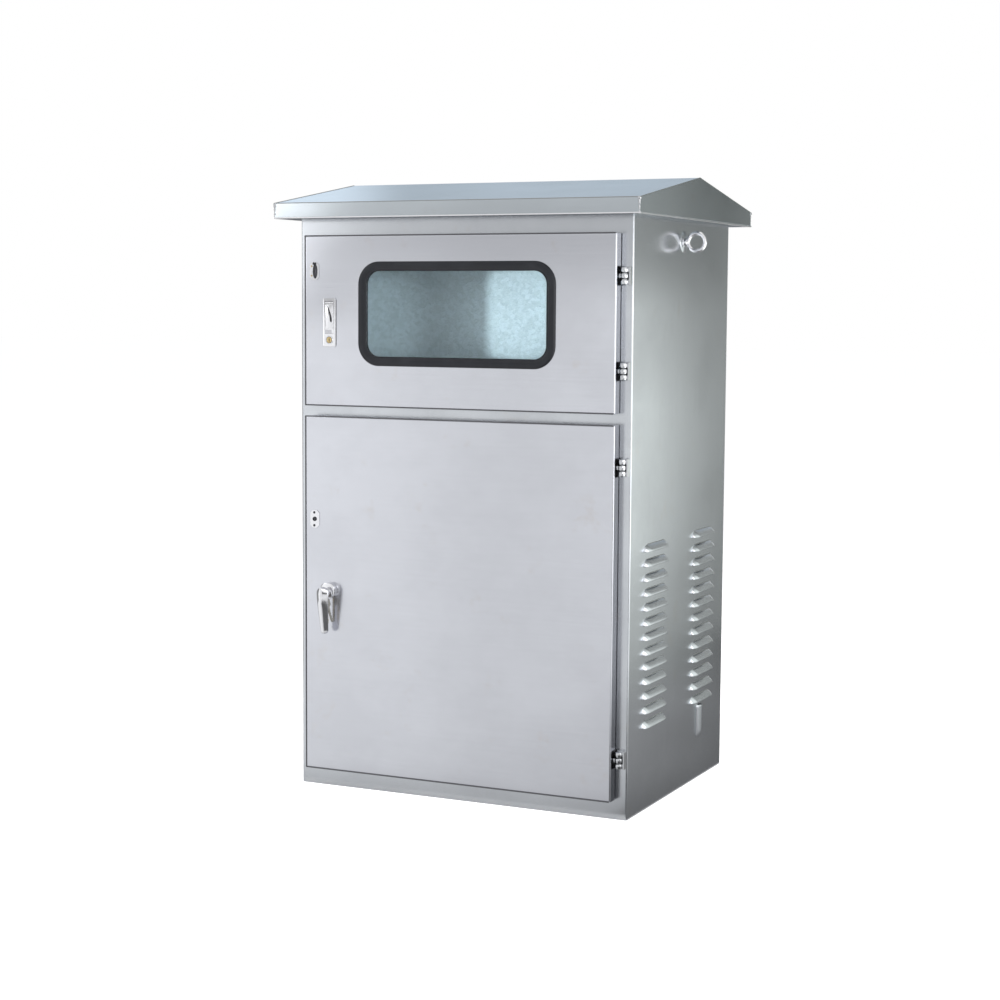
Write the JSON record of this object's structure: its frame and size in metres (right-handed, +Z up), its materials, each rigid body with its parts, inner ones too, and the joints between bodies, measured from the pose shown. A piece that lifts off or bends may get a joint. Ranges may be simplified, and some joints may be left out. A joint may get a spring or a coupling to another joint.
{
  "type": "electric meter box",
  "caption": "Outdoor electric meter box of brushed stainless sheet with a gable roof, glazed upper door, plain lower door with lever lock, louvred sides and lifting eyes.",
  "frame": {"origin": "middle of the base, on the plane the box stands on", "axes": "+Z up, front with the doors towards -Y, +X to the right as seen from the front"},
  "size_m": [0.777, 0.633, 1.178],
  "materials": {
    "shell_steel": "fine brushed stainless sheet",
    "door_steel": "fine brushed stainless sheet",
    "roof_steel": "fine brushed stainless sheet",
    "zinc_plate": "galvanised with a spangle",
    "hinge_steel": "plain machined steel",
    "chrome": "polished",
    "plug_brass": "dull",
    "gasket_rubber": "smooth black rubber",
    "seal_foam": "dense black foam",
    "window_glass": "clear with a faint green tint"
  },
  "bodies": {
    "cabinet": {"side_panel_right": "shell_steel", "side_panel_left": "shell_steel", "back_panel": "shell_steel", "bottom_panel": "shell_steel", "top_panel": "shell_steel", "middle_rail": "shell_steel", "divider_shelf": "shell_steel", "gland_plate": "shell_steel", "roof_hood": "roof_steel", "roof_gable_right": "roof_steel", "roof_gable_left": "roof_steel", "roof_support_right": "roof_steel", "roof_support_left": "roof_steel", "meter_plate": "zinc_plate", "meter_plate_bracket_right": "zinc_plate", "meter_plate_bracket_left": "zinc_plate", "equipment_plate": "zinc_plate", "equipment_rail_right": "zinc_plate", "equipment_rail_left": "zinc_plate", "hinge_brackets": "hinge_steel", "hinge_pins": "hinge_steel", "lifting_eyes": "hinge_steel", "earth_stud": "hinge_steel"},
    "upper_door": {"upper_door_panel": "door_steel", "upper_hinge_knuckles": "hinge_steel", "upper_door_seal": "seal_foam", "window_glass": "window_glass", "window_gasket": "gasket_rubber", "flush_lock_housing": "chrome", "flush_lock_pin": "chrome", "upper_seal_plate": "hinge_steel"},
    "lower_door": {"lower_door_panel": "door_steel", "lower_hinge_knuckles": "hinge_steel", "lower_door_seal": "seal_foam", "handle_base": "chrome", "lower_seal_plate": "hinge_steel", "key_ring": "hinge_steel", "brass_key": "plug_brass", "steel_key": "hinge_steel"},
    "lock_flap": {"flush_lock_flap": "chrome"},
    "key": {"key_plug": "plug_brass", "upper_lock_cam": "hinge_steel"},
    "lever": {"handle_lever": "chrome", "handle_spindle": "hinge_steel", "lower_lock_cam": "hinge_steel"}
  },
  "joints": [
    {"name": "upper_door_hinge", "type": "hinge", "parent": "cabinet", "child": "upper_door", "pos_m": [0.33, -0.272, 0.905], "axis": [0, 0, 1], "range_deg": [0, 120]},
    {"name": "lower_door_hinge", "type": "hinge", "parent": "cabinet", "child": "lower_door", "pos_m": [0.33, -0.272, 0.38], "axis": [0, 0, 1], "range_deg": [0, 120]},
    {"name": "lock_flap_hinge", "type": "hinge", "parent": "upper_door", "child": "lock_flap", "pos_m": [-0.2655, -0.284, 0.9391], "axis": [-1, 0, 0], "range_deg": [0, 45]},
    {"name": "key_turn", "type": "hinge", "parent": "upper_door", "child": "key", "pos_m": [-0.2655, -0.285, 0.869], "axis": [0, 1, 0], "range_deg": [0, 90]},
    {"name": "lever_turn", "type": "hinge", "parent": "lower_door", "child": "lever", "pos_m": [-0.2655, -0.285, 0.386], "axis": [0, -1, 0], "range_deg": [0, 90]}
  ]
}
